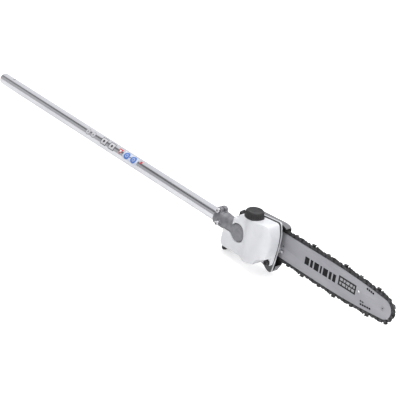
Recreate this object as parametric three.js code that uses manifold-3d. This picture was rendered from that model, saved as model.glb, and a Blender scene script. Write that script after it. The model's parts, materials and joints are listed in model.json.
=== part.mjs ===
// Pole saw attachment: aluminium tube, bevel gear head, oil tank, guide bar and saw chain.
// Frame: +X along the tube towards the bar's nose, +Z up, origin at the centre of the tube's free end.
// The oil tank is on the -Y side, the chain and its cover on the +Y side. Millimetres throughout.
import * as THREE from 'three';
import { mergeVertices } from 'three/addons/utils/BufferGeometryUtils.js';
import Module from 'manifold-3d';

const wasm = await Module();
wasm.setup();

// ---------------------------------------------------------------- driving dimensions
const gap = 0.3;                  // between any two pieces that touch

const tubeDiameter = 24;
const tubeWall = 1.6;
const tubeExposed = 702;          // free end of the tube to the face of the gearcase clamp
const socketDepth = 23;           // how far the tube goes into the clamp
const tubeHoleAt = 37;            // hole in the top of the tube, from its free end
const tubeHoleDiameter = 5;

const shaftDiameter = 7;
const shaftRecess = 9;            // how far the shaft end sits inside the tube end
const shaftSquare = 5;            // across the flats of the driving square
const bushingLength = 26;
const bushingCount = 4;

const headX = 767;                // where the output shaft's axis is drawn along X
const neckToHead = 65;            // face of the clamp to the output shaft's axis
const neckWall = 2.9;
const domeRadius = 16.6;
const domeReach = 15;             // face of the dome, towards -Y
const flangeRadius = 24;
const flangeThickness = 4;

const pinionTeeth = 12;
const bevelTeeth = 18;
const bevelModule = 1.3;
const bevelFaceShare = 0.32;      // tooth length as a share of the cone distance
const wormWheelTeeth = 10;

const plateThickness = 4;
const plateNear = 10.5;           // face of the backing plate that the gearcase bolts to
const chainPlane = 22;            // Y of the middle of the bar, the chain and the sprocket

const barThickness = 4.2;
const barHeight = 6.2;            // Z of the bar's centre line
const barTail = 790;
const barReach = 331.5;           // output shaft's axis to the tip of the bar
const barHalfWidth = 25;
const noseTeeth = 7;
const driveTeeth = 6;
const chainHalfPitch = 9.32;      // rivet to rivet
const strapBelowRivet = 2.9;      // rivet centre above the foot of the tie straps
const strapHeight = 6;
const chainWidth = 6;
const cutterRise = 2.8;
const grooveWidth = 1.9;
const grooveDepth = 5;
const tangWidth = 1.2;
const barTravel = 6;              // how far the adjuster lets the bar come back

const coverDepth = 15;            // from the plate to the outside of the cover
const coverWall = 2;

const tankBack = 8.4;
const tankShallow = 13.5;         // reach of the tank's front beside the dome
const tankDeep = 23;              // reach of the tank's front below the filler
const tankWall = 1.8;
const tankClearance = 0.8;

const capHeight = 12.5;
const capTop = 56.5;
const capX = 796;
const capY = -8;
const fillerRadius = 13.4;
const fillerWall = 2.6;
const capWall = 4.1;              // outside of the filler to the rim of the cap
const capRibs = 18;

// ---------------------------------------------------------------- worked-out sizes
const tubeRadius = tubeDiameter / 2;
const tubeBore = tubeRadius - tubeWall;
const clampFace = headX - neckToHead;
const tubeStart = clampFace - tubeExposed;
const tubeEnd = clampFace + socketDepth;
const shaftRadius = shaftDiameter / 2;
const neckRadius = tubeRadius + gap + neckWall;
const socketEnd = tubeEnd + gap;
const plateFar = plateNear + plateThickness;
const flangeFar = plateNear - gap;
const pinionPitch = bevelModule * pinionTeeth / 2;
const bevelPitch = bevelModule * bevelTeeth / 2;
const driveRivets = chainHalfPitch / (2 * Math.sin(Math.PI / (2 * driveTeeth)));
const noseRivets = chainHalfPitch / (2 * Math.sin(Math.PI / (2 * noseTeeth)));
const driveStrapFoot = driveRivets - strapBelowRivet;
const noseRadius = noseRivets - strapBelowRivet;
const barTip = headX + barReach;
const noseX = barTip - noseRadius;
const barNear = chainPlane - barThickness / 2;
const barFar = chainPlane + barThickness / 2;
const fillerBore = fillerRadius - fillerWall;
const capRadius = fillerRadius + capWall;
const capBase = capTop - capHeight;
const coverFar = plateFar + coverDepth;
const coverInside = coverFar - coverWall;

// ---------------------------------------------------------------- materials
const material = (colour, roughness, metalness, more = {}) =>
  new THREE.MeshStandardMaterial({ color: colour, roughness, metalness, ...more });
const tubeAluminium = material(0xc9ccd2, 0.3, 1);
const castMetal = material(0x8d8e93, 0.55, 0.8);
const plateMetal = material(0xd5d6d8, 0.4, 0.9);
const steel = material(0xb9babd, 0.35, 1);
const darkSteel = material(0x4b4b4e, 0.45, 0.9);
const barMetal = material(0xa5a4a9, 0.45, 0.7);
const coverMetal = material(0x77777b, 0.5, 0.6);
const blackPlastic = material(0x1d1d1f, 0.5, 0);
const rubber = material(0x161616, 0.8, 0);
const milky = material(0xe9eaee, 0.4, 0, { transparent: true, opacity: 0.92 });
const nylon = material(0xd9d4c4, 0.5, 0);
const bronze = material(0xa9793f, 0.4, 0.9);

// ---------------------------------------------------------------- solids
// A closed geometry as a solid with merged vertices and its faces pointing out.
function solid(geometry) {
  const bare = geometry.clone();
  bare.deleteAttribute('normal');
  bare.deleteAttribute('uv');
  const merged = mergeVertices(bare, 1e-4);
  const position = merged.getAttribute('position').array;
  const kept = [];
  const index = merged.index.array;
  let volume = 0;
  const a = new THREE.Vector3();
  const b = new THREE.Vector3();
  const c = new THREE.Vector3();
  for (let i = 0; i < index.length; i += 3) {
    const [p, q, r] = [index[i], index[i + 1], index[i + 2]];
    if (p === q || q === r || p === r) continue;
    kept.push(p, q, r);
    a.fromArray(position, 3 * p);
    b.fromArray(position, 3 * q);
    c.fromArray(position, 3 * r);
    volume += a.dot(b.cross(c));
  }
  if (volume < 0) kept.reverse();
  return new wasm.Manifold(new wasm.Mesh({
    numProp: 3,
    vertProperties: new Float32Array(position),
    triVerts: new Uint32Array(kept),
  }));
}

const join = (...solids) => solids.reduce((whole, next) => whole.add(next));
const cut = (whole, ...tools) => tools.reduce((left, tool) => left.subtract(tool), whole);

function toGeometry(shape) {
  const { vertProperties, triVerts } = shape.getMesh();
  const geometry = new THREE.BufferGeometry();
  geometry.setAttribute('position', new THREE.BufferAttribute(new Float32Array(vertProperties), 3));
  geometry.setIndex(new THREE.BufferAttribute(new Uint32Array(triVerts), 1));
  geometry.computeVertexNormals();
  return geometry;
}

const poleSaw = new THREE.Group();
const tubeGroup = new THREE.Group();
const headGroup = new THREE.Group();
const oilGroup = new THREE.Group();
const barGroup = new THREE.Group();
poleSaw.add(tubeGroup, headGroup, oilGroup, barGroup);

function place(group, name, shape, look) {
  const mesh = new THREE.Mesh(toGeometry(shape), look);
  mesh.name = name;
  group.add(mesh);
}

// Turns a geometry made around the Y axis to lie along the named axis.
function alongAxis(geometry, axis) {
  if (axis === 'x') geometry.rotateZ(-Math.PI / 2);
  if (axis === 'z') geometry.rotateX(Math.PI / 2);
  return geometry;
}

// A rod between two places on an axis through `centre`.
function rod(axis, radius, from, to, centre = [0, 0, 0], sides = 28, endRadius = radius) {
  const geometry = alongAxis(new THREE.CylinderGeometry(endRadius, radius, to - from, sides), axis);
  const middle = [...centre];
  middle['xyz'.indexOf(axis)] = (from + to) / 2;
  return solid(geometry.translate(...middle));
}

// A turned piece: profile rows are [radius, place along the axis], closed on the axis or on itself.
function turned(axis, profile, centre = [0, 0, 0], sides = 28) {
  const points = profile.map(([radius, along]) => new THREE.Vector2(radius, along));
  const geometry = alongAxis(new THREE.LatheGeometry(points, sides), axis);
  const middle = [...centre];
  middle['xyz'.indexOf(axis)] = 0;
  return solid(geometry.translate(...middle));
}

function ring(axis, inner, outer, from, to, centre, sides = 28) {
  return turned(axis, [[inner, from], [outer, from], [outer, to], [inner, to], [inner, from]], centre, sides);
}

function block(xRange, yRange, zRange) {
  const ranges = [xRange, yRange, zRange];
  const size = ranges.map(([low, high]) => high - low);
  const middle = ranges.map(([low, high]) => (low + high) / 2);
  return solid(new THREE.BoxGeometry(...size).translate(...middle));
}

// An outline with rounded corners: rows are [first, second, corner radius].
function outline(corners) {
  const shape = new THREE.Shape();
  const count = corners.length;
  corners.forEach(([x, z, radius = 0], i) => {
    const here = new THREE.Vector2(x, z);
    const before = new THREE.Vector2(...corners[(i + count - 1) % count].slice(0, 2));
    const after = new THREE.Vector2(...corners[(i + 1) % count].slice(0, 2));
    const room = 0.48 * Math.min(here.distanceTo(before), here.distanceTo(after));
    const reach = Math.min(radius, room);
    const start = here.clone().add(before.sub(here).setLength(reach || 1e-3));
    const end = here.clone().add(after.sub(here).setLength(reach || 1e-3));
    if (i === 0) shape.moveTo(start.x, start.y);
    else shape.lineTo(start.x, start.y);
    if (reach) shape.quadraticCurveTo(here.x, here.y, end.x, end.y);
  });
  shape.closePath();
  return shape;
}

// An outline in X and Z, extruded along Y. A bevel rounds both rims and stays inside the outline.
function sideways(shape, from, to, bevel = 0, curveSegments = 3) {
  const options = { depth: to - from - 2 * bevel, steps: 1, curveSegments, bevelEnabled: bevel > 0 };
  Object.assign(options, { bevelThickness: bevel, bevelSize: bevel, bevelOffset: -bevel, bevelSegments: 2 });
  const geometry = new THREE.ExtrudeGeometry(shape, options);
  return solid(geometry.rotateX(Math.PI / 2).translate(0, to - bevel, 0));
}

// An outline in X and Y, extruded along Z.
function upwards(shape, from, to) {
  const options = { depth: to - from, steps: 1, curveSegments: 4, bevelEnabled: false };
  return solid(new THREE.ExtrudeGeometry(shape, options).translate(0, 0, from));
}

const polygon = (points) => new THREE.Shape(points.map(([x, z]) => new THREE.Vector2(x, z)));

// A body skinned over rings of points; each ring is [[x, y, z], ...] and both ends are capped.
function loft(rings) {
  const count = rings[0].length;
  const position = rings.flat(2);
  const index = [];
  for (let r = 0; r + 1 < rings.length; r += 1) {
    for (let i = 0; i < count; i += 1) {
      const j = (i + 1) % count;
      const [a, b] = [r * count + i, r * count + j];
      index.push(a, b, b + count, a, b + count, a + count);
    }
  }
  const ends = [[rings[0], 0, true], [rings.at(-1), (rings.length - 1) * count, false]];
  ends.forEach(([points, base, first]) => {
    const middle = [0, 1, 2].map((k) => points.reduce((sum, p) => sum + p[k], 0) / count);
    const centre = position.length / 3;
    position.push(...middle);
    for (let i = 0; i < count; i += 1) {
      const [a, b] = [base + i, base + (i + 1) % count];
      index.push(...(first ? [centre, b, a] : [centre, a, b]));
    }
  });
  const geometry = new THREE.BufferGeometry();
  geometry.setAttribute('position', new THREE.Float32BufferAttribute(position, 3));
  geometry.setIndex(index);
  return solid(geometry);
}

// A ring of gear teeth: four points a tooth. `toPoint` puts a radius and an angle into space.
function toothRing(teeth, root, tip, turn, toPoint) {
  const pitch = 2 * Math.PI / teeth;
  const tooth = [[root, -0.25], [tip, -0.13], [tip, 0.13], [root, 0.25]];
  const points = [];
  for (let i = 0; i < teeth; i += 1) {
    tooth.forEach(([radius, share]) => points.push(toPoint(radius, (i + share) * pitch + turn)));
  }
  return points;
}

const aroundX = (x) => (radius, angle) => [x, radius * Math.cos(angle), radius * Math.sin(angle)];
const aroundY = (y, x0 = headX, z0 = 0) => (radius, angle) =>
  [x0 + radius * Math.sin(angle), y, z0 + radius * Math.cos(angle)];
const aroundZ = (z, x0, y0) => (radius, angle) =>
  [x0 + radius * Math.cos(angle), y0 + radius * Math.sin(angle), z];

// Points of a circle, and of the smallest loop that goes round a set of points.
function circle(x, z, radius, count = 48) {
  return Array.from({ length: count }, (_, i) => {
    const angle = 2 * Math.PI * i / count;
    return [x + radius * Math.cos(angle), z + radius * Math.sin(angle)];
  });
}

function hull(points) {
  const sorted = [...points].sort((p, q) => p[0] - q[0] || p[1] - q[1]);
  const turnOf = (o, a, b) => (a[0] - o[0]) * (b[1] - o[1]) - (a[1] - o[1]) * (b[0] - o[0]);
  const half = (list) => {
    const chain = [];
    list.forEach((point) => {
      while (chain.length > 1 && turnOf(chain.at(-2), chain.at(-1), point) <= 1e-6) chain.pop();
      chain.push(point);
    });
    return chain.slice(0, -1);
  };
  return [...half(sorted), ...half(sorted.reverse())];
}

// ---------------------------------------------------------------- tube and drive shaft
const tubeHole = rod('z', tubeHoleDiameter / 2, 0, tubeRadius + 1, [tubeStart + tubeHoleAt, 0, 0], 16);
place(tubeGroup, 'outer_tube',
  cut(ring('x', tubeBore, tubeRadius, tubeStart, tubeEnd, [0, 0, 0], 30), tubeHole), tubeAluminium);

const shaftStart = tubeStart + shaftRecess;
const squareEnd = shaftStart + 16;
const squareTip = block([shaftStart, squareEnd + 1], [-shaftSquare / 2, shaftSquare / 2],
  [-shaftSquare / 2, shaftSquare / 2]);
const shaftInPinion = headX - bevelPitch - 1;
const roundShaft = rod('x', shaftRadius, squareEnd, shaftInPinion, [0, 0, 0], 20);
place(tubeGroup, 'drive_shaft', join(squareTip, roundShaft), steel);

for (let i = 0; i < bushingCount; i += 1) {
  const start = tubeStart + 60 + i * (tubeExposed - 100) / (bushingCount - 1);
  place(tubeGroup, `shaft_bushing_${i + 1}`,
    ring('x', shaftRadius + gap, tubeBore - gap, start, start + bushingLength, [0, 0, 0], 24), rubber);
}

// ---------------------------------------------------------------- gearcase
const pinionBack = headX - bevelPitch;
const bearingRadius = 11;
const pinionStem = 5;
const bevelCavity = 13.3;
const innerBearing = { radius: 7.7, from: -13, to: -9.2 };
const outerBearing = { radius: bevelCavity - gap, from: 9.2, to: 14 };
const spigotRadius = 15.6;
const spigotEnd = 16;
const bearingShoulder = pinionBack - 10.5;
const pumpX = headX + 9.7;
const pumpY = 0.8;
const wormTip = 5.4;
const wheelTip = pumpX - headX - wormTip - gap;
const wheelHalf = 2.5;
const pumpBossRadius = 6;
const pumpBossLow = -17;
const clampX = clampFace + 6.5;
const clampZ = neckRadius + 1.2;
const clampSeat = 7.6;            // half the width of the two lugs between screw head and nut
const clampHeadRadius = 4.4;
const clampNutRadius = 4.8;
const locatorX = clampFace + 17.5;
const flangeScrewRadius = 20;
const flangeScrewHole = 2.3;
const flangeScrewAngles = [45, 135, 225, 315].map((degrees) => degrees * Math.PI / 180);

function gearcase() {
  const neck = turned('x', [[0, clampFace], [neckRadius - 1, clampFace], [neckRadius, clampFace + 1],
    [neckRadius, socketEnd - 4], [neckRadius - 1, socketEnd + 3], [neckRadius - 1.2, headX - 8],
    [0, headX - 8]], [0, 0, 0], 30);
  const round = 3.5;
  const house = turned('y', [[0, -domeReach], [domeRadius - round, -domeReach], [domeRadius - 0.3 * round,
    -domeReach + 0.3 * round], [domeRadius, -domeReach + round], [domeRadius, flangeFar], [0, flangeFar]],
  [headX, 0, 0], 28);
  const flange = rod('y', flangeRadius, flangeFar - flangeThickness, flangeFar, [headX, 0, 0], 30);
  const spigot = rod('y', spigotRadius, 0, spigotEnd, [headX, 0, 0], 30);
  const lug = sideways(outline([[clampX - 6, 8], [clampX - 5.5, clampZ + 5, 4], [clampX + 5.5, clampZ + 5, 4],
    [clampX + 10, 8]]), -clampSeat, clampSeat);
  const lowerBoss = rod('y', 5.4, -neckRadius - 1.6, -8, [locatorX, 0, -2], 20);
  const pumpBoss = rod('z', pumpBossRadius, pumpBossLow, 0, [pumpX, pumpY, 0], 24);
  const body = join(neck, house, flange, spigot, lug, lowerBoss, pumpBoss);
  const sockets = [
    rod('x', tubeRadius + gap, clampFace - 1, socketEnd, [0, 0, 0], 30),
    rod('x', bearingRadius + gap, socketEnd - 1, bearingShoulder, [0, 0, 0], 30),
    rod('x', 9.4, bearingShoulder - 1, headX, [0, 0, 0], 28),
    rod('y', bevelCavity, -9, spigotEnd + 1, [headX, 0, 0], 28),
    rod('y', innerBearing.radius + gap, innerBearing.from - gap, 0, [headX, 0, 0], 28),
    block([clampFace - 1, socketEnd - 5], [-0.8, 0.8], [8, 40]),
    rod('y', 2.9, -20, 20, [clampX, 0, clampZ], 16),
    rod('y', clampHeadRadius + gap, -20, -clampSeat, [clampX, 0, clampZ], 24),
    rod('y', clampNutRadius + gap, clampSeat, 20, [clampX, 0, clampZ], 24),
    rod('y', 2.3, -30, -10, [locatorX, 0, -2], 16),
    rod('z', 2.8, 0, 12, [pumpX, pumpY, 0], 16),
    rod('z', 4.5, -13.5, 0, [pumpX, pumpY, 0], 20),
    rod('z', wheelTip + 0.5, -wheelHalf - 0.5, wheelHalf + 0.5, [pumpX, pumpY, 0], 20),
    rod('z', 2.8, pumpBossLow - 1, -10, [pumpX, pumpY, 0], 16),
    ...flangeScrewAngles.map((angle) => rod('y', flangeScrewHole, flangeFar - 3, flangeFar + 1,
      [headX + flangeScrewRadius * Math.cos(angle), 0, flangeScrewRadius * Math.sin(angle)], 12)),
  ];
  return cut(body, ...sockets);
}
place(headGroup, 'gearcase', gearcase(), castMetal);

// A cap screw: a head with a hexagon socket and a plain shank, pointing along +Y from its head.
function capScrew(headRadius, headLength, shankRadius, seat, tip, centre, socket = headRadius * 0.5) {
  const head = rod('y', headRadius, seat - headLength, seat, centre, 20);
  const shank = rod('y', shankRadius, seat - 0.5, tip, centre, 14);
  const hexagon = rod('y', socket, seat - headLength - 1, seat - headLength * 0.45, centre, 6);
  return cut(join(head, shank), hexagon);
}
place(headGroup, 'clamp_screw',
  capScrew(clampHeadRadius, 5, 2.6, -clampSeat - gap, clampSeat + 5, [clampX, 0, clampZ]), steel);
const clampNut = rod('y', clampNutRadius, clampSeat + gap, clampSeat + 4.3, [clampX, 0, clampZ], 6);
place(headGroup, 'clamp_nut', cut(clampNut, rod('y', 2.9, 0, 30, [clampX, 0, clampZ], 16)), steel);
place(headGroup, 'locating_screw', capScrew(4.3, 4.4, 2, -neckRadius - 1.9, -tubeRadius - gap,
  [locatorX, 0, -2]), steel);

// ---------------------------------------------------------------- bevel drive
const bevelScale = 1 - bevelFaceShare;
function pinion() {
  const large = aroundX(pinionBack);
  const small = aroundX(headX - bevelPitch * bevelScale);
  const [root, tip] = [pinionPitch - 0.8, pinionPitch + 0.8];
  const teeth = loft([toothRing(pinionTeeth, root, tip, 0, large),
    toothRing(pinionTeeth, root * bevelScale, tip * bevelScale, 0, small)]);
  const stem = rod('x', pinionStem, socketEnd + 1.6, pinionBack + 1, [0, 0, 0], 28);
  return cut(join(teeth, stem), rod('x', shaftRadius + gap, 0, headX, [0, 0, 0], 20));
}
place(headGroup, 'bevel_pinion', pinion(), steel);

const bearingWidth = 6;
const frontBearing = bearingShoulder - gap - bearingWidth;
const rearBearing = socketEnd + 2.6;
[rearBearing, frontBearing].forEach((start, i) => {
  place(headGroup, `pinion_bearing_${i + 1}`,
    ring('x', pinionStem + gap, bearingRadius, start, start + bearingWidth, [0, 0, 0], 30), steel);
});
place(headGroup, 'pinion_circlip',
  ring('x', 8.4, bearingRadius, socketEnd + 0.9, socketEnd + 2.1, [0, 0, 0], 28), darkSteel);

function bevelGear() {
  const [root, tip] = [bevelPitch - 1.7, bevelPitch + 0.6];
  const halfTooth = Math.PI / bevelTeeth;
  const meshTurn = -Math.PI / 2 + halfTooth;
  const small = aroundY(-pinionPitch * bevelScale);
  const teeth = loft([toothRing(bevelTeeth, root, tip, meshTurn, aroundY(-pinionPitch)),
    toothRing(bevelTeeth, root * bevelScale, tip * bevelScale, meshTurn, small)]);
  const hub = rod('y', 7, -pinionPitch - 1.1, -pinionPitch * bevelScale + 0.6, [headX, 0, 0], 28);
  return cut(join(teeth, hub), rod('y', 4.3, -20, 20, [headX, 0, 0], 24));
}
place(headGroup, 'bevel_gear', bevelGear(), steel);

const clipFrom = 25.5;
place(headGroup, 'output_shaft', turned('y', [[0, innerBearing.from], [4, innerBearing.from], [4, 8.3],
  [5, 8.3], [5, spigotEnd], [4.5, spigotEnd], [4.5, clipFrom], [3.2, clipFrom], [3.2, clipFrom + 1],
  [4.2, clipFrom + 1], [4.2, clipFrom + 1.7], [0, clipFrom + 1.7]], [headX, 0, 0], 24), steel);
place(headGroup, 'output_bearing_1',
  ring('y', 4.3, innerBearing.radius, innerBearing.from, innerBearing.to, [headX, 0, 0], 28), steel);
place(headGroup, 'output_bearing_2',
  ring('y', 5.3, outerBearing.radius, outerBearing.from, outerBearing.to, [headX, 0, 0], 30), steel);
place(headGroup, 'bearing_circlip', ring('y', 10.6, outerBearing.radius, outerBearing.to + gap,
  outerBearing.to + 1.3, [headX, 0, 0], 28), darkSteel);

function driveSprocket() {
  const tip = driveStrapFoot - 0.5;
  const star = loft([18, 24.4].map((y) => toothRing(driveTeeth, 10, tip, 0, aroundY(y))));
  const hub = rod('y', 8.5, spigotEnd + 0.4, 18.5, [headX, 0, 0], 28);
  return cut(join(star, hub), rod('y', 4.8, 0, 40, [headX, 0, 0], 24));
}
place(headGroup, 'drive_sprocket', driveSprocket(), darkSteel);
place(headGroup, 'sprocket_washer', ring('y', 4.8, 8, 24.7, 25.3, [headX, 0, 0], 24), steel);
place(headGroup, 'sprocket_clip',
  ring('y', 3.5, 6.2, clipFrom + 0.15, clipFrom + 0.85, [headX, 0, 0], 18), darkSteel);

// ---------------------------------------------------------------- oil pump
function pumpWorm() {
  const rings = [];
  const turns = 4;
  const steps = 20;
  for (let s = 0; s <= steps; s += 1) {
    const y = -1.4 + 9 * s / steps;
    const twist = 2 * Math.PI * turns * s / steps;
    rings.push(Array.from({ length: 12 }, (_, i) => {
      const angle = 2 * Math.PI * i / 12;
      return aroundY(y)(wormTip - 0.45 + 0.45 * Math.cos(angle - twist), angle);
    }));
  }
  return cut(loft(rings), rod('y', 4.3, -20, 20, [headX, 0, 0], 20));
}
place(oilGroup, 'pump_worm', pumpWorm(), bronze);

const plungerWheel = loft([-wheelHalf, wheelHalf].map((z) =>
  toothRing(wormWheelTeeth, wheelTip - 0.9, wheelTip, 0, aroundZ(z, pumpX, pumpY))));
place(oilGroup, 'pump_plunger', join(plungerWheel, rod('z', 2.4, -9.6, 11.6, [pumpX, pumpY, 0], 16)), steel);
place(oilGroup, 'pump_cylinder', ring('z', 2.7, 4.2, -9.6, -3.2, [pumpX, pumpY, 0], 20), bronze);

// ---------------------------------------------------------------- backing plate
const tankScrewPlaces = [[759, 31.5], [729, -49.5], [834.5, -28.5]];
const earRoots = [[768, 24], [742, -34], [829, -19]];   // inside the tank, each ear's web runs to one
const earThickness = 3;
const earRadius = 6.2;
const grommetLength = 5;
const screwHole = 2.3;            // radius of the hole a 4 mm screw goes through
const studRadius = 4;
const studX = 806;
const guidePinX = 822;
const adjusterY = (plateFar + barNear) / 2;
const adjusterHeadRadius = barNear - adjusterY - 0.35;
const adjusterRadius = 1.9;
const adjusterZ = -4;
const adjusterBlockX = 830;

function backingPlate() {
  const shape = outline([[748, 30, 5], [760, 40, 6], [800, 45, 20], [842, 50, 5], [848, 30, 12], [847, 0, 20],
    [839, -50, 5], [828, -50, 6], [818, -42, 8], [790, -41, 10], [737, -57, 6],
    [721.5, -57, 6], [721.5, -42, 6], [744, -20, 8]]);
  const plate = sideways(shape, plateNear, plateFar, 0.8);
  const padShape = outline([[796, 0.5, 4], [796, 12, 4], [838, 12, 4], [838, 0.5, 4]]);
  const pad = sideways(padShape, plateFar - 1, barNear - gap);
  const lugs = [[800, 805], [840, 845]].map((range) =>
    block(range, [plateFar - 1, barNear - gap], [adjusterZ - 4, 1]));
  return cut(join(plate, pad, ...lugs),
    rod('y', spigotRadius + gap, 0, 30, [headX, 0, 0], 28),
    rod('x', neckRadius - 0.5, 700, headX, [0, 0, 0], 30),
    rod('y', studRadius + gap, 0, 30, [studX, 0, barHeight], 20),
    rod('y', studRadius + gap, 0, 30, [guidePinX, 0, barHeight], 20),
    rod('x', adjusterRadius + gap, 790, 860, [0, adjusterY, adjusterZ], 16),
    ...tankScrewPlaces.map(([x, z]) => rod('y', screwHole, 0, 30, [x, 0, z], 12)),
    ...flangeScrewAngles.map((angle) => rod('y', flangeScrewHole, 0, 30,
      [headX + flangeScrewRadius * Math.cos(angle), 0, flangeScrewRadius * Math.sin(angle)], 12)));
}
place(headGroup, 'backing_plate', backingPlate(), plateMetal);

// Screws with their heads on the chain's side, pointing towards -Y.
function plateScrew(x, z) {
  const screw = join(rod('y', 3.5, plateFar + gap, plateFar + 2.8, [x, 0, z], 16),
    rod('y', 2, flangeFar - 2.4, plateFar + 1, [x, 0, z], 12));
  return cut(screw, rod('y', 1.7, plateFar + 1.4, plateFar + 4, [x, 0, z], 6));
}
flangeScrewAngles.forEach((angle, i) => {
  place(headGroup, `plate_screw_${i + 1}`,
    plateScrew(headX + flangeScrewRadius * Math.cos(angle), flangeScrewRadius * Math.sin(angle)), steel);
});

// ---------------------------------------------------------------- guide bar
// Half the bar's width at a place along it: flat in the middle, falling to the nose and the tail.
function barHalf(x) {
  const middle = barTip - 138.5;
  const shoulder = 848;
  const forward = (x - middle) / (noseX - middle);
  if (x >= middle) return barHalfWidth - forward ** 2 * (barHalfWidth - noseRadius);
  const flat = barHalfWidth - (middle - x) ** 2 / 13000;
  if (x >= shoulder) return flat;
  return flat - 9.5 * ((shoulder - x) / (shoulder - barTail)) ** 1.6;
}

// The bar's outline, grown outwards by `grow`.
function barPoints(grow) {
  const top = [];
  for (let i = 0; i <= 22; i += 1) {
    const x = barTail + 2 + (noseX - barTail - 2) * i / 22;
    top.push([x, barHalf(x) + grow]);
  }
  const nose = circle(noseX, 0, noseRadius + grow, 60).filter(([x]) => x > noseX + 1);
  const points = [...top, ...top.map(([x, z]) => [x, -z]), ...nose,
    [barTail - grow, barHalf(barTail) - 4], [barTail - grow, 4 - barHalf(barTail)]];
  return hull(points).map(([x, z]) => [x, z + barHeight]);
}

function guideBar() {
  const body = sideways(polygon(barPoints(0)), barNear, barFar);
  const [near, far] = [chainPlane - grooveWidth, chainPlane + grooveWidth];
  const inner = sideways(polygon(barPoints(-grooveDepth)), near, far);
  const slab = sideways(polygon(barPoints(3)), chainPlane - grooveWidth / 2, chainPlane + grooveWidth / 2);
  const groove = cut(slab, inner, block([700, 812], [0, 60], [-60, 60]));
  const half = studRadius + 0.4;
  const [slotStart, slotEnd] = [studX - half, guidePinX + barTravel + 5];
  const slot = sideways(outline([[slotStart, barHeight - half, half], [slotStart, barHeight + half, half],
    [slotEnd, barHeight + half, half], [slotEnd, barHeight - half, half]]), 0, 60);
  const noseSlot = rod('y', noseRadius + 3, chainPlane - grooveWidth / 2, chainPlane + grooveWidth / 2,
    [noseX, 0, barHeight], 28);
  const hanging = rod('y', 3, 0, 60, [barTip - 72.9, 0, barHeight + 2], 16);
  const rivetHole = rod('y', 3.3, 0, 60, [noseX, 0, barHeight], 20);
  const pinHole = rod('y', 2.4, 0, 60, [adjusterBlockX, 0, adjusterZ], 16);
  const oilHole = sideways(polygon([[847.5, 4], [851, 4.5], [848.5, 8.5]]), 0, 60);
  return cut(body, groove, slot, noseSlot, hanging, rivetHole, pinHole, oilHole);
}
place(barGroup, 'guide_bar', guideBar(), barMetal);

const noseDisc = loft([-0.55, 0.55].map((side) =>
  toothRing(noseTeeth, noseRadius - 3.4, noseRadius - 0.5, 0, aroundY(chainPlane + side, noseX, barHeight))));
place(barGroup, 'nose_sprocket', cut(noseDisc, rod('y', 3.3, 0, 60, [noseX, 0, barHeight], 20)), darkSteel);
place(barGroup, 'nose_rivet', rod('y', 3, barNear, barFar, [noseX, 0, barHeight], 20), steel);

// ---------------------------------------------------------------- saw chain
// The taut loop round the drive sprocket and the bar, `above` the foot of the tie straps.
function chainLoop(above) {
  return hull([...circle(headX, 0, driveStrapFoot + above), ...barPoints(0.35 + above)]);
}

// Places a piece along a loop: `each` gets the point, the outward direction and the running number.
function alongLoop(loop, spacing, each) {
  const lengths = loop.map(([x, z], i) => {
    const next = loop[(i + 1) % loop.length];
    return Math.hypot(next[0] - x, next[1] - z);
  });
  const whole = lengths.reduce((sum, length) => sum + length, 0);
  const count = 2 * Math.round(whole / spacing / 2);
  const step = whole / count;
  const pieces = [];
  for (let n = 0; n < count; n += 1) {
    let along = n * step;
    let i = 0;
    while (along > lengths[i]) {
      along -= lengths[i];
      i += 1;
    }
    const [p, q] = [loop[i], loop[(i + 1) % loop.length]];
    const share = along / lengths[i];
    const direction = [(q[0] - p[0]) / lengths[i], (q[1] - p[1]) / lengths[i]];
    pieces.push(each([p[0] + (q[0] - p[0]) * share, p[1] + (q[1] - p[1]) * share], direction, n));
  }
  return pieces;
}

function sawChain() {
  const [near, far] = [chainPlane - chainWidth / 2, chainPlane + chainWidth / 2];
  const band = cut(sideways(polygon(chainLoop(strapHeight)), near, far),
    sideways(polygon(chainLoop(0)), 0, 60));
  const tangs = cut(sideways(polygon(chainLoop(1)), chainPlane - tangWidth / 2, chainPlane + tangWidth / 2),
    sideways(polygon(barPoints(-grooveDepth + 2)), 0, 60),
    block([700, 856], [0, 60], [-80, 80]),
    block([noseX - 22, barTip + 20], [0, 60], [-80, 80]));
  const cutters = alongLoop(chainLoop(strapHeight), 4 * chainHalfPitch, ([x, z], [dx, dz], n) => {
    const side = n % 2 ? 1 : -1;
    const tooth = new THREE.BoxGeometry(10, 3.4, 2 + cutterRise);
    tooth.translate(0, side * 2.1, (cutterRise - 2) / 2);
    tooth.rotateY(-Math.atan2(-dz, -dx)).translate(x, chainPlane, z);
    return solid(tooth);
  });
  return join(band, tangs, ...cutters);
}
place(barGroup, 'saw_chain', sawChain(), darkSteel);

// ---------------------------------------------------------------- bar fixing and chain adjuster
place(headGroup, 'bar_stud', join(rod('y', 6, tankBack + 0.4, plateNear - gap, [studX, 0, barHeight], 20),
  rod('y', studRadius, plateNear - 0.5, coverFar + 9, [studX, 0, barHeight], 20)), steel);
place(headGroup, 'bar_guide_pin', rod('y', studRadius, plateNear, 26, [guidePinX, 0, barHeight], 20), steel);

const nutFlange = rod('y', 9, coverFar + gap, coverFar + 2.2, [studX, 0, barHeight], 28);
const nutHexagon = rod('y', 7.5, coverFar + 1, coverFar + 8, [studX, 0, barHeight], 6);
const nutBore = rod('y', studRadius + gap, 0, 60, [studX, 0, barHeight], 20);
place(headGroup, 'bar_nut', cut(join(nutFlange, nutHexagon), nutBore), steel);

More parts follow.
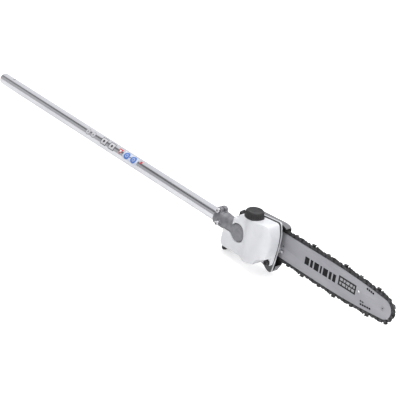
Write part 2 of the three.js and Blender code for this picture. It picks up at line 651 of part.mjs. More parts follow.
const adjusterHead = rod('x', adjusterHeadRadius, 845.4, 852, [0, adjusterY, adjusterZ], 20);
const adjusterSlot = block([850.6, 853], [adjusterY - 4, adjusterY + 4], [adjusterZ - 0.5, adjusterZ + 0.5]);
const adjusterShank = rod('x', adjusterRadius, 797, 846, [0, adjusterY, adjusterZ], 16);
place(headGroup, 'adjuster_screw', cut(join(adjusterHead, adjusterShank), adjusterSlot), steel);
const adjusterBlock = block([adjusterBlockX - 4, adjusterBlockX + 4], [plateFar + 0.4, barNear - gap],
  [adjusterZ - 4, adjusterZ + 3.9]);
place(barGroup, 'adjuster_block', cut(join(adjusterBlock,
  rod('y', 2, barNear - 1, barFar, [adjusterBlockX, 0, adjusterZ], 16)),
rod('x', adjusterRadius + gap, 800, 860, [0, adjusterY, adjusterZ], 16)), steel);

// ---------------------------------------------------------------- sprocket cover
const coverOutline = (grow) => outline([[734 - grow, 14, 14], [748, 33 + grow, 14], [775, 40.5 + grow, 16],
  [842, 45.5 + grow, 6], [853 + grow, 42.5 + grow, 6], [854 + grow, 24, 8], [851 + grow, -16, 10],
  [846 + grow, -34, 8], [836, -52 - grow, 6], [823, -50 - grow, 6], [806, -40 - grow, 10],
  [758, -33 - grow, 16], [734 - grow, -18, 14]]);

function sprocketCover() {
  const shell = cut(sideways(coverOutline(0), plateFar + 0.6, coverFar, 2.4),
    sideways(coverOutline(-coverWall), plateFar - 4, coverInside, 0.8));
  const front = block([843, 880], [0, coverInside], [-46, 40.5]);
  const padShape = outline([[798, -1, 4], [798, 13, 4], [836, 13, 4], [836, -1, 4]]);
  const pad = sideways(padShape, barFar + gap, coverInside + 0.5);
  const trimmed = cut(shell, block([0, 900], [0, plateFar + 3], [-90, 90]));
  const skirt = cut(sideways(coverOutline(0), plateFar + 0.6, plateFar + 4),
    sideways(coverOutline(-coverWall), 0, 60));
  return cut(join(trimmed, skirt, pad), front,
    rod('x', neckRadius + 0.5, 700, headX - 20, [0, 0, 0], 30),
    rod('y', studRadius + gap, 0, 60, [studX, 0, barHeight], 20),
    rod('y', studRadius + gap, 0, 26.5, [guidePinX, 0, barHeight], 20));
}
place(headGroup, 'sprocket_cover', sprocketCover(), coverMetal);

// ---------------------------------------------------------------- oil tank
// Everything of the gearcase that reaches into the tank, grown by `grow`.
function gearcaseEnvelope(grow) {
  return join(rod('x', neckRadius - 1.2 + grow, 700, headX, [0, 0, 0], 28),
    rod('y', domeRadius + grow, -60, 60, [headX, 0, 0], 30),
    rod('y', flangeRadius + grow, flangeFar - flangeThickness - grow, 60, [headX, 0, 0], 28),
    rod('z', pumpBossRadius + grow, pumpBossLow - grow, 0, [pumpX, pumpY, 0], 24),
    block([700, headX], [0, 60], [-neckRadius - grow, neckRadius + grow]));
}

// The side view of the tank and its plan, both drawn `inset` inside the outer surface.
function tankBlank(inset) {
  const i = inset;
  const side = outline([[752 + i, 14, 4], [754 + i, 29 - i, 8], [772, 38 - i, 12], [800, 44 - i, 20],
    [842 - i, 49 - i, 6], [848.5 - i, 30, 16], [848.5 - i, 6, 20], [843 - i, -33 + i, 5], [824, -33 + i, 8],
    [803, -39.5 + i, 14], [734 + i, -40.5 + i, 7], [728.5 + i, -35 + i, 6], [731 + i, -6, 4],
    [752 + i, -6, 4]]);
  const plan = outline([[700, tankBack - i], [870, tankBack - i], [850 - i, 0, 8], [847 - i, -17 + i, 9],
    [838, -tankDeep + i, 9], [799, -tankDeep + i, 12], [783, -tankShallow + i, 12], [700, -tankShallow + i]]);
  return sideways(side, -tankDeep + i, tankBack - i, i ? 0 : 1.5).intersect(upwards(plan, -80, 80));
}

// The lower front corner, where the tank steps back to clear a screw.
function frontCorner(grow) {
  return sideways(polygon([[818 - grow, -60], [822 - grow, -33 + grow], [830 - grow, -20.5 + grow],
    [849, -13 + grow], [870, -13 + grow], [870, -60]]), -60, 1 + grow);
}

function oilTank() {
  const earFront = tankBack - earThickness;
  const atScrews = (radius, from, to) =>
    tankScrewPlaces.map(([x, z]) => rod('y', radius, from, to, [x, 0, z], 24));
  const ears = tankScrewPlaces.map(([x, z], i) => {
    const web = hull([...circle(x, z, earRadius, 24), ...circle(...earRoots[i], earRadius, 24)]);
    return sideways(polygon(web), earFront, tankBack);
  });
  const pockets = [...atScrews(earRadius + 0.4, -60, earFront), frontCorner(0)];
  const keep = [...atScrews(earRadius + 0.4 + tankWall, -60, 60), frontCorner(tankWall)];
  const capSeat = (wall) => rod('z', capRadius + 0.6 + wall, capBase - gap - wall, 90, [capX, capY, 0], 28);
  const filler = rod('z', fillerRadius, capBase - gap - tankWall, capTop - 6.2, [capX, capY, 0], 28);
  const outer = join(cut(tankBlank(0), capSeat(0), ...pockets), ...ears, filler);
  const aroundGearcase = gearcaseEnvelope(tankClearance + tankWall);
  const hollow = cut(tankBlank(tankWall), capSeat(tankWall), aroundGearcase, ...keep);
  const cavity = join(hollow,
    rod('z', fillerBore, capBase - gap - 2 * tankWall, capTop, [capX, capY, 0], 30));
  return cut(outer, gearcaseEnvelope(tankClearance), cavity,
    rod('z', 2.8, pumpBossLow - 6, pumpBossLow, [pumpX, pumpY, 0], 16),
    ...atScrews(screwHole, -60, 60));
}
place(oilGroup, 'oil_tank', oilTank(), milky);

tankScrewPlaces.forEach(([x, z], i) => {
  const seat = tankBack - earThickness - gap;
  place(oilGroup, `tank_grommet_${i + 1}`,
    ring('y', 2.4, 5.3, seat - grommetLength, seat, [x, 0, z], 20), rubber);
  place(oilGroup, `tank_screw_${i + 1}`,
    capScrew(4.7, 2.8, 2, seat - grommetLength - gap, plateFar - gap, [x, 0, z], 2.2), blackPlastic);
});

// ---------------------------------------------------------------- oil cap
function oilCap() {
  const flare = 1.3;
  const ribbed = (z, radius, depth) => Array.from({ length: capRibs * 4 }, (_, i) => {
    const dip = i % 4 === 0 ? depth : 0;
    return aroundZ(z, capX, capY)(radius - dip, 2 * Math.PI * i / (capRibs * 4));
  });
  const body = loft([ribbed(capBase, capRadius, 0), ribbed(capBase + 2, capRadius, 0),
    ribbed(capBase + 2.6, capRadius - flare + 0.4, 1), ribbed(capTop - 1.6, capRadius - flare, 1),
    ribbed(capTop, capRadius - flare - 2.2, 0.6)]);
  return cut(body, rod('z', fillerRadius + 0.5, capBase - 1, capTop - 4, [capX, capY, 0], 28));
}
place(oilGroup, 'oil_cap', oilCap(), blackPlastic);
place(oilGroup, 'cap_gasket',
  ring('z', fillerBore, fillerRadius, capTop - 6.2 + gap, capTop - 4 - gap, [capX, capY, 0], 28), rubber);

// ---------------------------------------------------------------- oil pickup
const hosePath = new THREE.CatmullRomCurve3([[pumpX, pumpY, pumpBossLow + 4], [pumpX, pumpY, pumpBossLow - 4],
  [pumpX - 4, pumpY - 1.5, pumpBossLow - 11], [pumpX - 14, pumpY - 3.5, pumpBossLow - 14],
  [pumpX - 23, pumpY - 4, pumpBossLow - 14]].map((point) => new THREE.Vector3(...point)));
function hose() {
  const section = new THREE.Shape();
  section.absarc(0, 0, 2.3, 0, 2 * Math.PI, false);
  section.holes.push(new THREE.Path().absarc(0, 0, 1.3, 0, 2 * Math.PI, true));
  return solid(new THREE.ExtrudeGeometry(section, { extrudePath: hosePath, steps: 14, curveSegments: 4 }));
}
place(oilGroup, 'oil_hose', hose(), rubber);
place(oilGroup, 'oil_filter',
  rod('x', 4.2, pumpX - 39, pumpX - 23.6, [0, pumpY - 4, pumpBossLow - 14], 20), nylon);

poleSaw.position.x = -tubeStart;  // the tube's free end stands at the origin
export default poleSaw;
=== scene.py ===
"""Looks for the pole saw attachment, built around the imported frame. Metres, in the row frame."""

import json
import math

import bmesh
import bpy
from mathutils import Matrix, Vector


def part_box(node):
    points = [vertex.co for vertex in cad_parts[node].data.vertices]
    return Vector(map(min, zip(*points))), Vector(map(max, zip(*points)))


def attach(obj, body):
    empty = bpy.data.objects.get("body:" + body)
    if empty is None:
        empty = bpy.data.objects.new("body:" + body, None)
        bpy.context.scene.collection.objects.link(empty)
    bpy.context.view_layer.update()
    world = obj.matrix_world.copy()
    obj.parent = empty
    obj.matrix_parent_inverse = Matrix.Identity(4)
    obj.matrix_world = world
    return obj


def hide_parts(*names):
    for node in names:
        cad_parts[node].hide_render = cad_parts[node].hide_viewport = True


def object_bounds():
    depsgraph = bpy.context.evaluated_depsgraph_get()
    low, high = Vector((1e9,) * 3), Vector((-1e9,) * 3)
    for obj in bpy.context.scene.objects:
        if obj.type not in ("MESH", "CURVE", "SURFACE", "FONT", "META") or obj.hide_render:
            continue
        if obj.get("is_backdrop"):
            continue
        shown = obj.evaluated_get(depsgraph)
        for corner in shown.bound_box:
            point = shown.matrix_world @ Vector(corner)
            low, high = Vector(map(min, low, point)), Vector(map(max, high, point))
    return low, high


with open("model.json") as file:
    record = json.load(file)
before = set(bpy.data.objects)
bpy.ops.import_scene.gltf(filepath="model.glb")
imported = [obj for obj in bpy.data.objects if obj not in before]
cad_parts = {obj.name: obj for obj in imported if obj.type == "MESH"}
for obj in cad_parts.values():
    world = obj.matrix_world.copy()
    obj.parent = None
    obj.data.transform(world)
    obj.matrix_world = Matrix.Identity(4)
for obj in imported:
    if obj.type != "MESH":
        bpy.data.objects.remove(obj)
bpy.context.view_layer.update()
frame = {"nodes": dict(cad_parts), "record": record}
NODES = frame["nodes"]
MM = 0.001
JOINTS = {joint["name"]: joint for joint in frame["record"]["behaviour"]["joints"]}
HEAD = Vector(JOINTS["sprocket_spin"]["pos_m"])
NOSE = Vector(JOINTS["nose_spin"]["pos_m"])
TUBE_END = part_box("outer_tube")[1].x

# Camera: where it looks, and from where.
AIM = Vector((0.6643, -0.0149, 0.0173))
AZIMUTH, ELEVATION, ROLL = math.radians(46.1), math.radians(25.3), math.radians(8.6)
DISTANCE = 2.317
LENS = 116.9
SENSOR = 36

# The button hole in the tube, in millimetres from the tube's free end.
HOLE_AT, HOLE_RADIUS = 37, 2.5

# Chain: low-profile 3/8 inch, in millimetres from its rivets' line.
HALF_PITCH = 9.32
STRAP_FOOT = 2.9
RAIL_GAP = 0.35
DRIVE_TEETH = 6
STRAP_INNER, STRAP_OUTER = 0.8, 1.95
DRIVE_HALF = 0.6


# ---------------------------------------------------------------- materials
def look(name, colour, roughness, metallic=0.0, **sockets):
    """A material with a plain Principled shader; its detail is added by the functions below."""
    material = bpy.data.materials.new(name)
    material.use_nodes = True
    shader = material.node_tree.nodes["Principled BSDF"]
    shader.inputs["Base Color"].default_value = (*colour, 1)
    shader.inputs["Roughness"].default_value = roughness
    shader.inputs["Metallic"].default_value = metallic
    for socket, value in sockets.items():
        shader.inputs[socket.replace("_", " ")].default_value = value
    return material


def shader_of(material):
    return material.node_tree.nodes["Principled BSDF"]


def noise(material, size, stretch=(1, 1, 1), detail=4.0, roughness=0.55):
    """Noise in the row frame; size is its grain in metres, stretch makes the grain longer along an axis."""
    nodes, links = material.node_tree.nodes, material.node_tree.links
    coordinates = nodes.new("ShaderNodeTexCoord")
    mapping = nodes.new("ShaderNodeMapping")
    mapping.inputs["Scale"].default_value = [1 / s for s in stretch]
    texture = nodes.new("ShaderNodeTexNoise")
    texture.inputs["Scale"].default_value = 1 / size
    texture.inputs["Detail"].default_value = detail
    texture.inputs["Roughness"].default_value = roughness
    links.new(coordinates.outputs["Object"], mapping.inputs["Vector"])
    links.new(mapping.outputs["Vector"], texture.inputs["Vector"])
    return texture.outputs["Fac"]


def tint(material, value, dark, light, low=0.35, high=0.65):
    """Colours the material between two colours by a value."""
    nodes, links = material.node_tree.nodes, material.node_tree.links
    ramp = nodes.new("ShaderNodeValToRGB")
    ramp.color_ramp.elements[0].position = low
    ramp.color_ramp.elements[0].color = (*dark, 1)
    ramp.color_ramp.elements[1].position = high
    ramp.color_ramp.elements[1].color = (*light, 1)
    links.new(value, ramp.inputs["Fac"])
    shader_input = shader_of(material).inputs["Base Color"]
    links.new(ramp.outputs["Color"], shader_input)
    return ramp.outputs["Color"]


def mix_colours(tree, factor, first, second):
    """A mix of two colours, each a socket or three numbers, by a factor's socket."""
    node = tree.nodes.new("ShaderNodeMix")
    node.data_type = "RGBA"
    ends = [socket for socket in node.inputs if socket.type == "RGBA"]
    for end, colour in zip(ends, (first, second)):
        if isinstance(colour, bpy.types.NodeSocket):
            tree.links.new(colour, end)
        else:
            end.default_value = (*colour, 1)
    tree.links.new(factor, node.inputs["Factor"])
    return next(socket for socket in node.outputs if socket.type == "RGBA")


def wear(material, base, worn, start=0.53, full=0.62):
    """Mixes a worn colour in along the outer edges."""
    nodes, links = material.node_tree.nodes, material.node_tree.links
    geometry = nodes.new("ShaderNodeNewGeometry")
    edge = nodes.new("ShaderNodeMapRange")
    edge.inputs["From Min"].default_value = start
    edge.inputs["From Max"].default_value = full
    links.new(geometry.outputs["Pointiness"], edge.inputs["Value"])
    worn_mix = mix_colours(material.node_tree, edge.outputs["Result"], base, worn)
    links.new(worn_mix, shader_of(material).inputs["Base Color"])


def vary_roughness(material, value, low, high):
    nodes, links = material.node_tree.nodes, material.node_tree.links
    span = nodes.new("ShaderNodeMapRange")
    span.inputs["From Min"].default_value = 0.3
    span.inputs["From Max"].default_value = 0.7
    span.inputs["To Min"].default_value = low
    span.inputs["To Max"].default_value = high
    links.new(value, span.inputs["Value"])
    links.new(span.outputs["Result"], shader_of(material).inputs["Roughness"])


def bump(material, *layers):
    """Adds bump layers, each (value, height in metres, strength)."""
    nodes, links = material.node_tree.nodes, material.node_tree.links
    below = None
    for value, height, strength in layers:
        node = nodes.new("ShaderNodeBump")
        node.inputs["Distance"].default_value = height
        node.inputs["Strength"].default_value = strength
        links.new(value, node.inputs["Height"])
        if below:
            links.new(below, node.inputs["Normal"])
        below = node.outputs["Normal"]
    links.new(below, shader_of(material).inputs["Normal"])


def tube_look():
    material = look("satin_aluminium", (0.72, 0.725, 0.75), 0.2, 1.0)
    drawn = noise(material, 0.0009, stretch=(260, 1, 1), detail=3)
    patches = noise(material, 0.02, stretch=(5, 1, 1), detail=5)
    tint(material, patches, (0.68, 0.685, 0.72), (0.76, 0.765, 0.79))
    vary_roughness(material, drawn, 0.15, 0.24)
    bump(material, (drawn, 0.00006, 0.35), (patches, 0.0003, 0.1))
    return material


def cast_look(name, dark, light, metallic=0.55):
    material = look(name, light, 0.42, metallic)
    blotch = noise(material, 0.009, detail=5)
    grain = noise(material, 0.0011, detail=3)
    colour = tint(material, blotch, dark, light)
    wear(material, colour, [min(1, 1.12 * c) for c in light])
    vary_roughness(material, blotch, 0.34, 0.5)
    bump(material, (grain, 0.00012, 0.4), (blotch, 0.0004, 0.12))
    return material


def plate_look():
    """Dark paint on the flat faces and bright metal round the machined edge."""
    material = cast_look("plate_silver", (0.60, 0.61, 0.63), (0.72, 0.73, 0.75))
    nodes, links = material.node_tree.nodes, material.node_tree.links
    base = shader_of(material).inputs["Base Color"]
    bright = base.links[0].from_socket
    direction = nodes.new("ShaderNodeTexCoord")
    split = nodes.new("ShaderNodeSeparateXYZ")
    across = nodes.new("ShaderNodeMath")
    across.operation = "ABSOLUTE"
    painted = nodes.new("ShaderNodeMapRange")
    painted.inputs["From Min"].default_value = 0.6
    painted.inputs["From Max"].default_value = 0.8
    links.new(direction.outputs["Normal"], split.inputs["Vector"])
    links.new(split.outputs["Y"], across.inputs[0])
    links.new(across.outputs["Value"], painted.inputs["Value"])
    speckle = noise(material, 0.004, detail=4)
    paint = mix_colours(material.node_tree, speckle, (0.12, 0.12, 0.125), (0.18, 0.18, 0.185))
    links.new(mix_colours(material.node_tree, painted.outputs["Result"], bright, paint), base)
    return material


def steel_look(name, dark, light, low, high, size=0.004, metallic=1.0):
    material = look(name, light, low, metallic)
    grain = noise(material, 0.0006, detail=3)
    stain = noise(material, size, detail=6)
    colour = tint(material, stain, dark, light)
    wear(material, colour, [min(1, 1.4 * c + 0.05) for c in light])
    vary_roughness(material, stain, low, high)
    bump(material, (grain, 0.00004, 0.3))
    return material


def bar_look():
    material = look("bar_paint", (0.36, 0.36, 0.375), 0.4, 0.35)
    haze = noise(material, 0.03, stretch=(3, 1, 1), detail=6)
    scuff = noise(material, 0.0016, stretch=(14, 1, 1), detail=4)
    grain = noise(material, 0.0007, detail=2)
    tint(material, haze, (0.33, 0.33, 0.355), (0.42, 0.42, 0.445), 0.3, 0.7)
    vary_roughness(material, scuff, 0.34, 0.46)
    bump(material, (grain, 0.00003, 0.3), (scuff, 0.00005, 0.2))
    return material


def tank_look():
    material = look("milky_tank", (0.78, 0.785, 0.81), 0.34, 0.0, Subsurface_Weight=0.35,
                    Subsurface_Scale=0.006, Coat_Weight=0.12, Coat_Roughness=0.25)
    shader_of(material).inputs["Subsurface Radius"].default_value = (1.0, 0.97, 0.94)
    cloud = noise(material, 0.035, detail=3)
    skin = noise(material, 0.0016, detail=4)
    tint(material, cloud, (0.74, 0.745, 0.775), (0.81, 0.815, 0.835))
    vary_roughness(material, cloud, 0.3, 0.42)
    bump(material, (skin, 0.00008, 0.25), (cloud, 0.0012, 0.12))
    return material


def plastic_look(name, dark, light, low, high, grain_size=0.0008):
    material = look(name, light, low)
    patch = noise(material, 0.006, detail=5)
    grain = noise(material, grain_size, detail=3)
    colour = tint(material, patch, dark, light)
    wear(material, colour, [min(1, 2.2 * c + 0.01) for c in light])
    vary_roughness(material, patch, low, high)
    bump(material, (grain, 0.00007, 0.35))
    return material


def ink_look(name, colour, roughness=0.45):
    material = look(name, colour, roughness, Specular_IOR_Level=0.25)
    fade = noise(material, 0.0012, detail=4)
    tint(material, fade, [0.85 * c for c in colour], [min(1, 1.12 * c + 0.004) for c in colour])
    bump(material, (fade, 0.00001, 0.3))
    return material


LOOKS = {
    "tube_aluminium": tube_look(),
    "cast_metal": cast_look("cast_grey", (0.19, 0.19, 0.205), (0.27, 0.27, 0.285)),
    "plate_metal": plate_look(),
    "bright_steel": steel_look("zinc_steel", (0.55, 0.55, 0.57), (0.72, 0.72, 0.74), 0.22, 0.36),
    "dark_steel": steel_look("oiled_steel", (0.12, 0.12, 0.125), (0.2, 0.2, 0.21), 0.28, 0.42),
    "chain_steel": steel_look("chain_steel", (0.012, 0.012, 0.013), (0.035, 0.035, 0.037), 0.38, 0.52,
                              0.0022, 0.5),
    "bar_metal": bar_look(),
    "cover_metal": cast_look("cover_grey", (0.19, 0.19, 0.2), (0.225, 0.225, 0.235), 0.4),
    "tank_plastic": tank_look(),
    "black_plastic": plastic_look("moulded_black", (0.012, 0.012, 0.013), (0.024, 0.024, 0.026), 0.34, 0.5),
    "black_rubber": plastic_look("soft_black", (0.010, 0.010, 0.010), (0.018, 0.018, 0.018), 0.6, 0.8),
    "filter_plastic": plastic_look("filter_felt", (0.62, 0.57, 0.45), (0.75, 0.70, 0.58), 0.7, 0.9),
    "bronze": steel_look("bronze", (0.42, 0.25, 0.10), (0.58, 0.37, 0.17), 0.25, 0.4),
}
BARE_RAIL = steel_look("bare_rail", (0.36, 0.36, 0.37), (0.5, 0.5, 0.51), 0.24, 0.4)
# Near-black for the cover's inner faces: painted shade where the cover's hollow lies in shadow.
COVER_PAINTED_SHADE = plastic_look("cover_inside_painted_shade", (0.012, 0.012, 0.013), (0.022, 0.022, 0.023), 0.5, 0.7)
CUTTER_STEEL = steel_look("cutter_steel", (0.014, 0.014, 0.015), (0.04, 0.04, 0.042), 0.36, 0.5, 0.0022, 0.5)
RIVET_STEEL = steel_look("rivet_steel", (0.05, 0.05, 0.053), (0.10, 0.10, 0.105), 0.3, 0.45, 0.0022, 0.7)
CAP_PLASTIC = plastic_look("cap_plastic", (0.007, 0.007, 0.008), (0.013, 0.013, 0.014), 0.4, 0.55)
# Black print ink; also the black in the nose pin's dimples, which is painted shade.
INK_BLACK_AND_PAINTED_SHADE = ink_look("ink_black_and_painted_shade", (0.006, 0.006, 0.007), 0.7)
INK_DARK = ink_look("ink_dark", (0.02, 0.02, 0.022), 0.7)
INK_PALE = ink_look("ink_pale", (0.40, 0.40, 0.42))
LABEL_WHITE = ink_look("label_white", (0.84, 0.84, 0.85), 0.35)
LABEL_RED = ink_look("label_red", (0.55, 0.045, 0.05), 0.35)
LABEL_BLUE = ink_look("label_blue", (0.10, 0.21, 0.55), 0.35)
LABEL_PALE = ink_look("label_pale", (0.60, 0.60, 0.62), 0.4)
LABEL_SHEET = ink_look("label_sheet", (0.60, 0.65, 0.78), 0.4)
LABEL_GREY = ink_look("label_grey", (0.30, 0.30, 0.32), 0.4)

for part in frame["record"]["subparts"]:
    node = NODES[part["node"]]
    node.data.materials.clear()
    node.data.materials.append(LOOKS[part["material_slot"]])


# ---------------------------------------------------------------- mesh helpers
def linked(name, vertices, faces):
    """An object in the scene whose faces point out."""
    mesh = bpy.data.meshes.new(name)
    mesh.from_pydata([tuple(v) for v in vertices], [], faces)
    work = bmesh.new()
    work.from_mesh(mesh)
    bmesh.ops.recalc_face_normals(work, faces=work.faces)
    work.to_mesh(mesh)
    work.free()
    obj = bpy.data.objects.new(name, mesh)
    bpy.context.scene.collection.objects.link(obj)
    return obj


def add(name, vertices, faces, body, slot, material=None, replaces=(), angle=32):
    """A finished piece: its faces point out and are smooth up to an angle, and it rides a body."""
    obj = linked(name, vertices, faces)
    obj.data.materials.append(material or LOOKS[slot])
    return settle(obj, body, replaces, angle)


def apply_modifiers(obj, scale=1.0):
    """Puts the modifiers' result in the object's mesh, and scales it."""
    evaluated = obj.evaluated_get(bpy.context.evaluated_depsgraph_get())
    mesh = bpy.data.meshes.new_from_object(evaluated)
    mesh.transform(Matrix.Scale(scale, 4))
    obj.modifiers.clear()
    obj.data = mesh


def in_millimetres(name, node):
    """A copy of a CAD node's mesh in the scene, in millimetres, for modifiers that work in them."""
    obj = bpy.data.objects.new(name, NODES[node].data.copy())
    obj.data.transform(Matrix.Scale(1 / MM, 4))
    bpy.context.scene.collection.objects.link(obj)
    return obj


def settle(obj, body, replaces, angle):
    """Shades a piece and hands it to the frame."""
    obj.data.shade_smooth()
    obj.data.set_sharp_from_angle(angle=math.radians(angle))
    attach(obj, body)
    if replaces:
        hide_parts(*replaces)
    return obj


def skin(rings, closed=False):
    """Vertices and faces of a body skinned over rings of points; its ends are capped unless it closes."""
    count = len(rings[0])
    vertices = [point for ring in rings for point in ring]
    faces = []
    for r in range(len(rings) if closed else len(rings) - 1):
        after = (r + 1) % len(rings)
        for i in range(count):
            j = (i + 1) % count
            faces.append((r * count + i, r * count + j, after * count + j, after * count + i))
    if not closed:
        faces.append(tuple(range(count))[::-1])
        faces.append(tuple(range((len(rings) - 1) * count, len(rings) * count)))
    return vertices, faces


def merged(bodies):
    """Several (vertices, faces) bodies as one."""
    vertices, faces = [], []
    for some_vertices, some_faces in bodies:
        start = len(vertices)
        vertices += some_vertices
        faces += [tuple(i + start for i in face) for face in some_faces]
    return vertices, faces


AXES = {
    "x": (Vector((1, 0, 0)), Vector((0, 1, 0)), Vector((0, 0, 1))),
    "y": (Vector((0, 1, 0)), Vector((0, 0, 1)), Vector((1, 0, 0))),
    "z": (Vector((0, 0, 1)), Vector((1, 0, 0)), Vector((0, 1, 0))),
}


def turned(axis, centre, profile, segments=60, closed=False):
    """A turned body about an axis through centre. Rows are (radius, place, sides), in millimetres.

    With sides, the row is a polygon with that distance across its flats halved."""
    along, first, second = AXES[axis]
    base = centre - along * centre.dot(along)
    rings = []
    for radius, place, *sides in profile:
        ring = []
        for i in range(segments):
            angle = 2 * math.pi * i / segments
            reach = radius
            if sides:
                sector = 2 * math.pi / sides[0]
                reach = radius / math.cos((angle % sector) - sector / 2)
            outward = first * math.cos(angle) + second * math.sin(angle)
            ring.append(base + MM * (along * place + outward * reach))
        rings.append(ring)
    return skin(rings, closed)


def middle(node):
    low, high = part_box(node)
    return (low + high) / 2


def rounded(corners, steps=5):
    """An outline with rounded corners; rows are (first, second, corner radius)."""
    points = []
    for i, (x, z, radius) in enumerate(corners):
        here = Vector((x, z))
        before = Vector(corners[i - 1][:2]) - here
        after = Vector(corners[(i + 1) % len(corners)][:2]) - here
        reach = min(radius, 0.48 * before.length, 0.48 * after.length)
        start, end = here + before.normalized() * reach, here + after.normalized() * reach
        for k in range(steps + 1 if reach > 0.01 else 1):
            t = k / steps
            points.append((1 - t) ** 2 * start + 2 * t * (1 - t) * here + t * t * end)
    return points


def offset(points, distance):
    """The outline moved outwards by a small distance."""
    area = sum(p.x * q.y - q.x * p.y for p, q in zip(points, points[1:] + points[:1]))
    side = 1 if area > 0 else -1
    moved = []
    for i, here in enumerate(points):
        one = here - points[i - 1]
        two = points[(i + 1) % len(points)] - here
        normals = [Vector((d.y, -d.x)).normalized() * side for d in (one, two) if d.length > 1e-9]
        total = sum(normals, Vector((0, 0)))
        if total.length > 1e-6:
            total.normalize()
            total /= max(0.5, total.dot(normals[0]))
        moved.append(here + total * distance)
    return moved


def slab(points, start, end, chamfer=0.12):
    """Rings (first, across, second) of a flat plate with small chamfers round both faces."""
    inner = offset(points, -chamfer)
    rows = [(inner, start), (points, start + chamfer), (points, end - chamfer), (inner, end)]
    return [[Vector((p.x, across, p.y)) for p in outline] for outline, across in rows]


def softened(name, node, body, voxel, passes, keep, angle=60):
    """A CAD node as a fine mesh with its edges rounded, as a casting's or a moulding's are."""
    obj = in_millimetres(name, node)
    remesh = obj.modifiers.new("remesh", "REMESH")
    remesh.mode = "VOXEL"
    remesh.voxel_size = voxel
    smooth = obj.modifiers.new("smooth", "SMOOTH")
    smooth.factor = 0.5
    smooth.iterations = passes
    thin = obj.modifiers.new("thin", "DECIMATE")
    thin.ratio = keep
    apply_modifiers(obj, MM)
    return settle(obj, body, (node,), angle)


# ---------------------------------------------------------------- tube
def tube():
    """A drawn tube with broken edges, and the button hole in its top."""
    centre = Vector((0, 0, 0))
    high = TUBE_END / MM
    outer, inner, edge = 12.0, 10.4, 0.35
    rows = [(inner, edge), (inner + edge, 0), (outer - edge, 0), (outer, edge)]
    rows += [(outer, high * k / 24) for k in range(1, 24)]
    rows += [(outer, high - edge), (outer - edge, high), (inner + edge, high), (inner, high - edge)]
    obj = linked("tube", *turned("x", centre, rows, 144, closed=True))
    obj.data.materials.append(LOOKS["tube_aluminium"])
    profile = [(HOLE_RADIUS, inner / 2), (HOLE_RADIUS, outer - 0.3), (HOLE_RADIUS + 0.4, outer + 0.1),
               (HOLE_RADIUS + 0.4, outer + 4)]
    drill = linked("drill", *turned("z", Vector((HOLE_AT * MM, 0, 0)), profile, 40))
    cut = obj.modifiers.new("hole", "BOOLEAN")
    cut.object = drill
    cut.solver = "EXACT"
    apply_modifiers(obj)
    settle(obj, "root", ("outer_tube",), 32)
    bpy.data.objects.remove(drill)


def tube_label(name, outline, material, lift=0.05):
    """A thin label on the tube. The outline is (x, arc), the arc in millimetres from the top towards -Y."""
    centre = sum((Vector(p) for p in outline), Vector((0, 0))) / len(outline)
    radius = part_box("outer_tube")[1].z / MM
    rings = []
    shares = [(1.0, -0.02)] + [(k / 5, lift) for k in (5, 4, 3, 2, 1)]
    for share, height in shares:
        ring = []
        for p in outline:
            x, arc = centre + (Vector(p) - centre) * share
            angle = arc / radius
            reach = radius + height
            ring.append(MM * Vector((x, -reach * math.sin(angle), reach * math.cos(angle))))
        rings.append(ring)
    return add(name, *skin(rings), "root", "tube_aluminium", material)


def spread(corners, pieces=8):
    """The same outline with its straight stretches divided, so that it can bend."""
    points = []
    for i, start in enumerate(corners):
        end = corners[(i + 1) % len(corners)]
        for k in range(pieces):
            t = k / pieces
            points.append((start[0] + (end[0] - start[0]) * t, start[1] + (end[1] - start[1]) * t))
    return points


def disc(x, arc, radius, count=40):
    return [(x + radius * math.cos(2 * math.pi * i / count), arc + radius * math.sin(2 * math.pi * i / count))
            for i in range(count)]


def frame_label(name, x, arc, half_x, half_arc, line):
    """A pale square with a dark border and a plain dark shape in it."""
    square = [(-1, -1), (1, -1), (1, 1), (-1, 1)]
    outer = [(x + half_x * i, arc + half_arc * j) for i, j in square]
    inner = [(x + (half_x - line) * i, arc + (half_arc - line) * j) for i, j in square]
    tube_label(f"{name}_border", spread(outer), INK_BLACK_AND_PAINTED_SHADE, 0.05)
    tube_label(f"{name}_field", spread(inner), LABEL_PALE, 0.08)
    tube_label(f"{name}_shape", disc(x, arc, 2.6), INK_DARK, 0.11)


def triangle(x, arc, size):
    """A triangle whose point is down."""
    return spread([(x - size, arc - size * 0.8), (x + size, arc - size * 0.8), (x, arc + size)])


def tube_labels():
    """Plain squares, triangles and discs, where the tube has its labels."""
    line = 9.4
    for name, x in (("label_a", 368), ("label_b", 393.5)):
        frame_label(name, x, line, 8.6, 7.6, 1.3)
    tube_label("label_c", triangle(420, 9.0, 6.5), LABEL_RED)
    tube_label("label_c_field", triangle(420, 8.7, 3.2), LABEL_WHITE, 0.08)
    sheet = [(430, 1.4), (474, 1.4), (474, 17.6), (430, 17.6)]
    tube_label("label_sheet", spread(sheet, 12), LABEL_SHEET, 0.03)
    for name, x in (("label_d", 441), ("label_e", 461.5)):
        tube_label(name, disc(x, line, 7.6), LABEL_BLUE, 0.07)
        tube_label(f"{name}_field", disc(x, line, 3.4), LABEL_SHEET, 0.1)
        tube_label(f"{name}_shape", disc(x, line, 2.3), LABEL_BLUE, 0.12)
    tube_label("label_f", triangle(482, 6.6, 3.8), LABEL_RED)
    for i, x in enumerate((316, 333)):
        tube_label(f"stamp_{i + 1}", disc(x, 10, 6.6), LABEL_GREY)
        tube_label(f"stamp_{i + 1}_field", disc(x, 10, 5.2), LABEL_PALE, 0.08)
        tube_label(f"stamp_{i + 1}_shape", disc(x, 10, 2.2), LABEL_GREY, 0.11)


# ---------------------------------------------------------------- screws, nuts and stud
def ends(node, axis="y"):
    """Where a CAD node starts and ends along an axis, in millimetres."""
    low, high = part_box(node)
    return getattr(low, axis) / MM, getattr(high, axis) / MM


